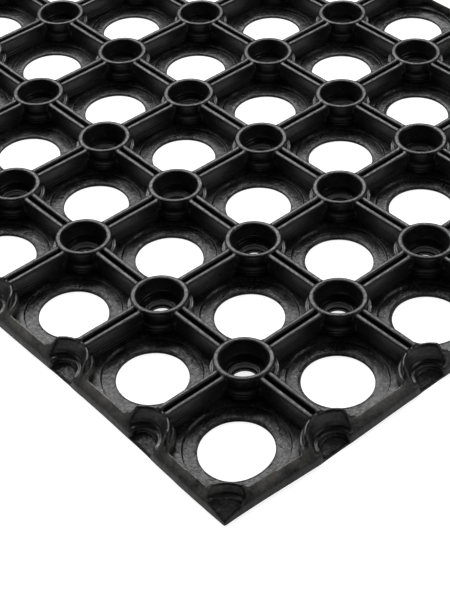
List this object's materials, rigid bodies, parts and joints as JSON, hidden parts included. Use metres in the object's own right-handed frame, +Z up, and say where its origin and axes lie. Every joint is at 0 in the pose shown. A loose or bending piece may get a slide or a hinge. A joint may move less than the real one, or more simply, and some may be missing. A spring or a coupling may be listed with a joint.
{
  "type": "rubber ring door mat",
  "caption": "Open rubber door mat: hollow rings joined by grooved ribs stand on a floor of round drain holes, inside a low bevelled border.",
  "frame": {"origin": "on the ground under the middle of the mat, at the bottom centre of its box", "axes": "+Y along the long side, +X along the short side, +Z up out of the tread"},
  "size_m": [0.4004, 0.6, 0.016],
  "materials": {
    "floor_rubber": "matt black rubber with a fine grainy skin",
    "tread_rubber": "satin black rubber with faint mould steps",
    "border_rubber": "matt black rubber, slightly mottled"
  },
  "bodies": {
    "root": {"drain_floor_01": "floor_rubber", "drain_floor_02": "floor_rubber", "drain_floor_03": "floor_rubber", "drain_floor_04": "floor_rubber", "drain_floor_05": "floor_rubber", "drain_floor_06": "floor_rubber", "drain_floor_07": "floor_rubber", "drain_floor_08": "floor_rubber", "drain_floor_09": "floor_rubber", "tread_row_01": "tread_rubber", "tread_row_02": "tread_rubber", "tread_row_03": "tread_rubber", "tread_row_04": "tread_rubber", "tread_row_05": "tread_rubber", "tread_row_06": "tread_rubber", "tread_row_07": "tread_rubber", "tread_row_08": "tread_rubber", "border_left": "border_rubber", "border_right": "border_rubber", "border_front": "border_rubber", "border_back": "border_rubber", "corner_front_left": "border_rubber", "corner_front_right": "border_rubber", "corner_back_left": "border_rubber", "corner_back_right": "border_rubber"}
  },
  "joints": []
}
